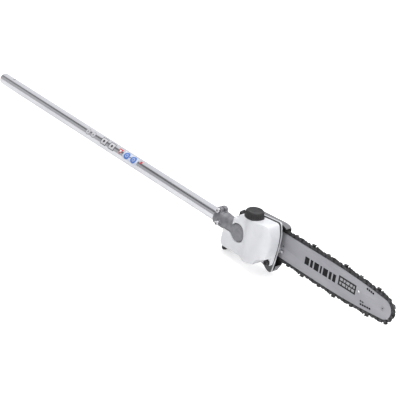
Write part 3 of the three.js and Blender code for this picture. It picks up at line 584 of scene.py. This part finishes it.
def turned_piece(name, node, rows, slot="bright_steel", segments=60, closed=False, body="root", axis="y",
                 material=None):
    """A turned piece on a CAD node's own axis, in that node's place."""
    vertices, faces = turned(axis, middle(node), rows, segments, closed)
    return add(name, vertices, faces, body, slot, material, (node,))


def socket_screw(name, node, slot, head, length, shank, socket, chamfer=0.45):
    """A cap screw with a hexagon socket, its head towards -Y, where its CAD node is."""
    face, tip = ends(node)
    rows = [(socket, face + 0.55 * length, 6), (socket, face + 0.3, 6), (socket + 0.3, face, 6),
            (head - chamfer, face), (head, face + chamfer), (head, face + length - 0.15),
            (head - 0.2, face + length), (shank, face + length), (shank, tip - 0.4), (shank - 0.4, tip)]
    turned_piece(name, node, rows, slot)


def grommet(i):
    """A rubber sleeve with a lip at each end, round a tank screw."""
    near, far = ends(f"tank_grommet_{i}")
    rows = [(2.4, near), (4.7, near), (5.3, near + 0.6), (5.3, near + 1.6), (4.5, near + 2.1),
            (4.5, far - 1.6), (5.3, far - 1.1), (5.3, far - 0.2), (5.0, far), (2.4, far)]
    turned_piece(f"grommet_{i}", f"tank_grommet_{i}", rows, "black_rubber", 48, closed=True)


def screws():
    socket_screw("clamp_bolt", "clamp_screw", "bright_steel", 4.35, 5, 2.6, 2.4)
    socket_screw("locating_bolt", "locating_screw", "bright_steel", 4.25, 4.4, 2, 2.2)
    for i in (1, 2, 3):
        socket_screw(f"tank_bolt_{i}", f"tank_screw_{i}", "black_plastic", 4.6, 2.8, 2, 2.1)
        grommet(i)


def nuts():
    near, far = ends("clamp_nut")
    rows = [(2.7, near), (4.1, near, 6), (4.1, far - 0.5, 6), (3.8, far), (2.7, far)]
    turned_piece("hex_nut", "clamp_nut", rows, closed=True)
    near, far = ends("bar_nut")
    rows = [(4.3, near), (8.7, near), (9.0, near + 0.3), (9.0, near + 1.2), (8.2, near + 2.0),
            (6.5, near + 2.3, 6), (6.5, far - 0.7, 6), (6.0, far), (4.3, far)]
    turned_piece("flange_nut", "bar_nut", rows, closed=True)


def bar_stud():
    """A collar, and a thread from the cover to the end, drawn as rings."""
    near, far = ends("bar_stud")
    turn, root, crest = 1.25, 3.4, 3.95
    rows = [(5.6, near), (6.0, near + 0.4), (6.0, near + 1.6), (crest, near + 1.8)]
    place = ends("sprocket_cover")[1] - 1
    while place + turn < far - 0.6:
        rows += [(root, place), (crest, place + turn / 2)]
        place += turn
    rows += [(root, far - 0.4), (3.0, far)]
    turned_piece("threaded_stud", "bar_stud", rows, segments=48)


def adjuster():
    start, end = ends("adjuster_screw", "x")
    neck = end - 6.6
    rows = [(1.5, start), (1.85, start + 0.4), (1.85, neck), (2.3, neck), (2.35, neck + 0.3),
            (2.35, end - 0.4), (1.95, end), (1.2, end), (1.2, end - 1.2)]
    turned_piece("adjuster", "adjuster_screw", rows, segments=48, body="adjuster", axis="x")


# ---------------------------------------------------------------- oil cap
def oil_cap():
    """A cap with a flange below, ribs round its grip and a rim round its sunk top."""
    low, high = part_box("oil_cap")
    centre = (low + high) / 2
    base, top = low.z / MM, high.z / MM
    flange = (high.x - low.x) / 2 / MM
    grip = flange - 1.1
    inner = 13.9
    ribs, steps = 24, 10
    rows = [(inner, top - 4, 0), (inner, base, 0), (flange - 0.4, base, 0), (flange, base + 0.4, 0),
            (flange, base + 1.7, 0), (flange - 0.5, base + 2.3, 0), (grip, base + 2.8, 0.3),
            (grip, base + 3.4, 1), (grip - 0.25, top - 2.8, 1), (grip - 0.5, top - 2.0, 0.7),
            (grip - 1.2, top - 0.9, 0.15), (grip - 2.2, top - 0.25, 0), (grip - 3.2, top, 0),
            (grip - 4.0, top - 0.15, 0), (grip - 4.6, top - 0.6, 0), (5, top - 0.6, 0), (2, top - 0.6, 0)]
    rings = []
    for radius, place, depth in rows:
        ring = []
        for i in range(ribs * steps):
            angle = 2 * math.pi * i / (ribs * steps)
            wave = 0.5 - 0.5 * math.cos(ribs * angle)
            reach = radius - 1.0 * depth * min(1.0, 1.7 * wave ** 2)
            ring.append(Vector((centre.x, centre.y, 0)) + MM * Vector((reach * math.cos(angle),
                                                                      reach * math.sin(angle), place)))
        rings.append(ring)
    add("ribbed_cap", *skin(rings), "cap", "black_plastic", CAP_PLASTIC, ("oil_cap",), 40)


# ---------------------------------------------------------------- guide bar
def guide_bar():
    """The bar with broken edges, painted on its faces and bare on its rails."""
    obj = in_millimetres("bar", "guide_bar")
    work = bmesh.new()
    work.from_mesh(obj.data)
    bmesh.ops.remove_doubles(work, verts=work.verts, dist=0.001)
    bmesh.ops.dissolve_limit(work, angle_limit=math.radians(1), verts=work.verts, edges=work.edges)
    work.to_mesh(obj.data)
    work.free()
    edges = obj.modifiers.new("edges", "BEVEL")
    edges.width = 0.3
    edges.segments = 2
    edges.limit_method = "ANGLE"
    edges.angle_limit = math.radians(50)
    apply_modifiers(obj, MM)
    obj.data.materials.append(BARE_RAIL)
    for face in obj.data.polygons:
        face.material_index = 0 if abs(face.normal.y) > 0.5 else 1
    settle(obj, "bar", ("guide_bar",), 30)


def bar_mark(name, outline, material, side=-1, lift=0.05):
    """A thin printed mark on one face of the bar; the outline is (x, z) in millimetres."""
    face = ends("guide_bar")[0 if side < 0 else 1]
    rings = [[MM * Vector((x, face + side * height, z)) for x, z in outline] for height in (-0.02, lift)]
    return add(name, *skin(rings), "bar", "bar_metal", material)


def box_outline(x0, x1, z0, z1, lean=0.0):
    return [(x0, z0), (x1, z0), (x1 + lean, z1), (x0 + lean, z1)]


def bar_marks():
    """Plain blocks on both faces, where the bar is printed."""
    for side, tag in ((-1, "near"), (1, "far")):
        blocks = ((902, 912), (915, 921), (924, 935), (938, 942), (945, 956), (959, 965), (968, 975))
        for i, (x0, x1) in enumerate(blocks):
            bar_mark(f"bar_block_{i + 1}_{tag}", box_outline(x0, x1, -1, 13), INK_BLACK_AND_PAINTED_SHADE, side)
        bar_mark(f"bar_panel_{tag}", box_outline(981, 1020.5, -0.5, 17), INK_DARK, side)
        for row, (z, widths) in enumerate(((9.5, (6, 4, 7, 5, 3)), (2.5, (4, 7, 3, 5, 6)))):
            x = 984.5
            for i, width in enumerate(widths):
                bar_mark(f"bar_panel_block_{5 * row + i + 1}_{tag}", box_outline(x, x + width, z, z + 4.5),
                         INK_PALE, side, 0.08)
                x += width + 2
        for i in range(4):
            x, z = 1041.5 + 4.4 * i, 23.0 - 0.5 * i
            bar_mark(f"bar_dash_{i + 1}_{tag}", box_outline(x, x + 3.5, z - 1.8, z + 1.8), INK_BLACK_AND_PAINTED_SHADE, side)
        for i in range(2):
            x = 1033 + 4.6 * i
            bar_mark(f"bar_dot_{i + 1}_{tag}", box_outline(x, x + 3.6, -5.2, -2.6), INK_DARK, side)
        for i in range(5):
            x, z = 1034 + 4.9 * i, -9.2 + 0.4 * i
            bar_mark(f"bar_tick_{i + 1}_{tag}", box_outline(x, x + 3.9, z - 1.6, z + 1.6), INK_BLACK_AND_PAINTED_SHADE, side)


def nose_rivet():
    """A riveted pin with a dimple in each end, each dimple filled with a black disc as painted shade."""
    near, far = ends("nose_rivet")
    rows = [(1.0, near + 0.5), (1.2, near - 0.05), (2.6, near - 0.2), (3.0, near + 0.1), (3.0, far - 0.1),
            (2.6, far + 0.2), (1.2, far + 0.05), (1.0, far - 0.5)]
    turned_piece("nose_pin", "nose_rivet", rows, segments=36, body="bar", material=LOOKS["bar_metal"])
    # Black discs filling the dimples: painted shade in the hollows.
    dots = [turned("y", middle("nose_rivet"), [(1.0, a), (1.0, b)], 24)
            for a, b in ((near - 0.12, near + 0.45), (far - 0.45, far + 0.12))]
    add("nose_dimple_painted_shade", *merged(dots), "bar", "bright_steel", INK_BLACK_AND_PAINTED_SHADE)


# ---------------------------------------------------------------- saw chain
def hull(points):
    """The convex outline round the points, as a taut belt runs."""
    points = sorted((p.x, p.y) for p in points)

    def half(list_of_points):
        kept = []
        for p in list_of_points:
            while len(kept) > 1 and ((kept[-1][0] - kept[-2][0]) * (p[1] - kept[-2][1])
                                     - (kept[-1][1] - kept[-2][1]) * (p[0] - kept[-2][0])) <= 1e-6:
                kept.pop()
            kept.append(p)
        return kept[:-1]

    return [Vector(p) for p in half(points) + half(points[::-1])]


def rivet_line():
    """The taut loop of rivets, in millimetres: round the drive sprocket and along the bar's rails."""
    bar = hull([Vector((v.co.x, v.co.z)) / MM for v in NODES["guide_bar"].data.vertices])
    rail = offset(bar, RAIL_GAP + STRAP_FOOT)
    radius = HALF_PITCH / (2 * math.sin(math.pi / (2 * DRIVE_TEETH)))
    wheel = [Vector((HEAD.x / MM + radius * math.cos(a), HEAD.z / MM + radius * math.sin(a)))
             for a in (2 * math.pi * i / 180 for i in range(180))]
    loop = hull(rail + wheel)
    start = min(range(len(loop)), key=lambda i: loop[i].x)
    return (loop[start:] + loop[:start])[::-1]


def rivets():
    """Rivet places at equal steps round the loop, four to a cutter, the first half a step from the start."""
    loop = rivet_line()
    spans = [(loop[(i + 1) % len(loop)] - p).length for i, p in enumerate(loop)]
    whole = sum(spans)
    count = 4 * round(whole / HALF_PITCH / 4)
    step = whole / count
    places = []
    for n in range(count):
        along = (n + 0.5) * step
        i = 0
        while along > spans[i]:
            along -= spans[i]
            i += 1
        places.append(loop[i].lerp(loop[(i + 1) % len(loop)], along / spans[i]))
    return places


def drive_link(tang, hump):
    """A middle link: its tang runs in the bar's groove, its hump stands before a cutter."""
    top = [(-7.3, 2.4, 2.2), (-1, 2.4, 1), (7.3, 2.4, 2.2)]
    if hump:
        top = [(-7.3, 2.4, 2.2), (-4.5, 2.5, 1), (-2.5, 4.9, 1.2), (3.0, 4.6, 1.8), (5.4, 2.4, 1),
               (7.3, 2.4, 1.5)]
    foot = [(7.3, -2.4, 2.2), (4.6, -2.6, 1), (2.6, -5.9, 0.7), (-1.4, -6.1, 0.9), (-4.4, -2.8, 1)] if tang \
        else [(7.3, -2.4, 2.2)]
    return slab(rounded(top + foot + [(-7.3, -2.4, 2.2)]), -DRIVE_HALF, DRIVE_HALF)


def strap(side):
    shape = rounded([(-7.6, -2.9, 2.6), (-7.6, 3.1, 2.6), (-2.6, 3.1, 1.2), (0, 1.6, 1.4), (2.6, 3.1, 1.2),
                     (7.6, 3.1, 2.6), (7.6, -2.9, 2.6), (1.6, -2.9, 1), (0, -2.65, 1), (-1.6, -2.9, 1)])
    near, far = sorted((side * STRAP_INNER, side * STRAP_OUTER))
    return slab(shape, near, far)


def cutter(side):
    """A cutter: side plate with its depth gauge and gullet, and the top plate folded over the chain."""
    shape = rounded([(-7.6, -2.9, 2.6), (-7.9, 4.6, 1.2), (-6.6, 5.2, 0.8), (1.0, 5.8, 0.3), (0.3, 3.4, 1.4),
                     (1.9, 2.3, 1.6), (3.3, 3.4, 1.0), (3.6, 5.0, 0.8), (6.2, 5.1, 1.0), (7.6, 2.6, 2.0),
                     (7.6, -2.9, 2.6), (1.6, -2.9, 1), (0, -2.65, 1), (-1.6, -2.9, 1)])
    near, far = sorted((side * STRAP_INNER, side * STRAP_OUTER))
    plate = slab(shape, near, far)
    # Above the rivets, the side plate leans outwards.
    for ring in plate:
        for p in ring:
            if p.x < 1.6 and p.z > 2.9:
                p.y += side * 0.42 * (p.z - 2.9)
    outer, inner = side * 3.1, -side * 1.1
    rings = []
    for lower, inset in ((-0.85, 0.15), (-0.7, 0.0), (-0.15, 0.0), (0, 0.15)):
        rings.append([Vector((u, v, 5.9 + 0.075 * (u - 1.3) + lower)) for u, v in (
            (-7.3 + inset, outer - side * inset), (1.4 - inset, outer - side * inset),
            (-0.9 - inset, inner + side * inset), (-6.9 + inset, inner + side * inset))])
    return plate, rings


def rivet_head(side):
    rings = []
    for radius, across in ((1.75, STRAP_OUTER - 0.4), (1.75, STRAP_OUTER + 0.12), (1.4, STRAP_OUTER + 0.3),
                           (0.6, STRAP_OUTER + 0.34)):
        rings.append([Vector((radius * math.cos(a), side * across, radius * math.sin(a)))
                      for a in (2 * math.pi * i / 16 for i in range(16))])
    return rings


def saw_chain():
    places = rivets()
    count = len(places)
    plane = middle("saw_chain").y / MM
    centre = sum(places, Vector((0, 0))) / count
    bodies = {"links": [], "straps": [], "cutters": [], "rivets": []}

    def put(kind, rings, p, q):
        here, along = (p + q) / 2, (q - p).normalized()
        out = Vector((-along.y, along.x))
        if out.dot(here - centre) < 0:
            out = -out
        vertices, faces = skin(rings)
        world = []
        for v in vertices:
            spot = here + v.x * along + v.z * out
            world.append(MM * Vector((spot.x, plane + v.y, spot.y)))
        bodies[kind].append((world, faces))

    tangs_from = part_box("sprocket_cover")[1].x / MM + 2
    tangs_to = NOSE.x / MM - 22
    for n in range(count):
        p, q = places[n - 1], places[n]
        side = 1 if n % 8 < 4 else -1
        if n % 2 == 0:
            tang = tangs_from < (p.x + q.x) / 2 < tangs_to
            put("links", drive_link(tang, n % 4 == 0), p, q)
        elif n % 4 == 1:
            for k in (-1, 1):
                put("straps", strap(k), p, q)
        else:
            plate, top = cutter(side)
            put("cutters", plate, p, q)
            put("cutters", top, p, q)
            put("straps", strap(-side), p, q)
        # The rivet's two heads stand at q itself, so their start and end are almost the same place.
        for k in (-1, 1):
            put("rivets", rivet_head(k), q + (q - p) * 1e-6, q + (q - p) * 2e-6)
    looks = {"links": LOOKS["chain_steel"], "straps": LOOKS["chain_steel"], "cutters": CUTTER_STEEL,
             "rivets": RIVET_STEEL}
    for kind, parts in bodies.items():
        add(f"chain_{kind}", *merged(parts), "bar", "chain_steel", looks[kind], replaces=("saw_chain",))


# ---------------------------------------------------------------- castings and mouldings
def cover():
    """The cover, with its inner faces coloured near-black as painted shade."""
    obj = softened("cover", "sprocket_cover", "root", 0.45, 6, 0.4)
    mesh = obj.data
    mesh.materials.append(COVER_PAINTED_SHADE)
    low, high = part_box("sprocket_cover")
    heart = (low + high) / 2
    # Faces that look into the cover get the near-black painted shade; the rest keep the cast grey.
    for face in mesh.polygons:
        outward = Vector((face.center.x - heart.x, 0, face.center.z - heart.z)).normalized()
        painted_shade_face = face.normal.y < -0.4 or face.normal.dot(outward) < -0.2 and face.normal.y < 0.4
        face.material_index = 1 if painted_shade_face else 0


tube()
tube_labels()
softened("head_casting", "gearcase", "root", 0.45, 6, 0.4)
softened("plate_casting", "backing_plate", "root", 0.4, 3, 0.5)
softened("blown_tank", "oil_tank", "root", 0.6, 10, 0.45)
cover()
screws()
nuts()
bar_stud()
adjuster()
oil_cap()
guide_bar()
bar_marks()
nose_rivet()
saw_chain()


# ---------------------------------------------------------------- floor, light and camera
def floor():
    """A white floor, lifted towards white for the camera alone, so that shadows stay light."""
    mesh = bpy.data.meshes.new("floor")
    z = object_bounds()[0][2] - 0.0005
    mesh.from_pydata([(-20, -20, z), (20, -20, z), (20, 20, z), (-20, 20, z)], [], [(0, 1, 2, 3)])
    material = look("floor_white", (0.86, 0.86, 0.86), 0.9)
    shader_of(material).inputs["Emission Color"].default_value = (0.5, 0.5, 0.5, 1)
    seen = material.node_tree.nodes.new("ShaderNodeLightPath")
    lifted = shader_of(material).inputs["Emission Strength"]
    material.node_tree.links.new(seen.outputs["Is Camera Ray"], lifted)
    bump(material, (noise(material, 0.01), 0.0001, 0.1))
    mesh.materials.append(material)
    obj = bpy.data.objects.new("floor", mesh)
    bpy.context.scene.collection.objects.link(obj)
    obj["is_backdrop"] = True


def area_light(name, place, size, power, target):
    light = bpy.data.lights.new(name, "AREA")
    light.shape = "SQUARE"
    light.size = size
    light.energy = power
    obj = bpy.data.objects.new(name, light)
    obj.location = place
    obj.rotation_euler = (Vector(target) - Vector(place)).to_track_quat("-Z", "Y").to_euler()
    bpy.context.scene.collection.objects.link(obj)


def studio():
    """A room whose far side is evenly bright, and whose near side has a dark strip under its ceiling."""
    world = bpy.data.worlds.new("studio")
    bpy.context.scene.world = world
    world.use_nodes = True
    nodes, links = world.node_tree.nodes, world.node_tree.links
    direction = nodes.new("ShaderNodeTexCoord")
    split = nodes.new("ShaderNodeSeparateXYZ")
    links.new(direction.outputs["Generated"], split.inputs["Vector"])
    ramp = nodes.new("ShaderNodeValToRGB")
    for place, grey in ((0.0, 0.6), (0.46, 0.68), (0.55, 0.2), (0.7, 0.16), (0.8, 1.0), (1.0, 1.0)):
        stop = ramp.color_ramp.elements.new(place) if place not in (0.0, 1.0) \
            else ramp.color_ramp.elements[-1 if place else 0]
        stop.color = (grey, grey, grey * 1.015, 1)
    links.new(split.outputs["Z"], ramp.inputs["Fac"])
    behind = nodes.new("ShaderNodeMapRange")
    behind.inputs["From Min"].default_value = -0.2
    behind.inputs["From Max"].default_value = -0.05
    links.new(split.outputs["Y"], behind.inputs["Value"])
    room = mix_colours(world.node_tree, behind.outputs["Result"], ramp.outputs["Color"], (1.12, 1.12, 1.15))
    seen = nodes.new("ShaderNodeLightPath")
    plain = mix_colours(world.node_tree, seen.outputs["Is Camera Ray"], room, (1, 1, 1))
    links.new(plain, nodes["Background"].inputs["Color"])
    nodes["Background"].inputs["Strength"].default_value = 0.8
    target = (0.75, 0, 0)
    area_light("key", (0.2, -1.5, 1.9), 1.2, 3, target)
    area_light("top", (0.7, 0.2, 2.4), 2.2, 34, target)
    area_light("side", (2.2, -1.0, 0.7), 0.9, 9, target)
    bpy.context.scene.view_settings.view_transform = "Standard"


def camera():
    """Stands before the tank, above it and on the bar's side, and is rolled a little."""
    back = Vector((math.sin(AZIMUTH) * math.cos(ELEVATION), -math.cos(AZIMUTH) * math.cos(ELEVATION),
                   math.sin(ELEVATION)))
    level = Vector((0, 0, 1)).cross(back).normalized()
    up = back.cross(level)
    right = level * math.cos(ROLL) + up * math.sin(ROLL)
    up = back.cross(right)
    data = bpy.data.cameras.new("camera")
    data.lens = LENS
    data.sensor_width = SENSOR
    data.clip_end = 100
    obj = bpy.data.objects.new("camera", data)
    turn = Matrix((right, up, back)).transposed().to_4x4()
    obj.matrix_world = Matrix.Translation(AIM + back * DISTANCE) @ turn
    bpy.context.scene.collection.objects.link(obj)
    bpy.context.scene.camera = obj


floor()
studio()
camera()
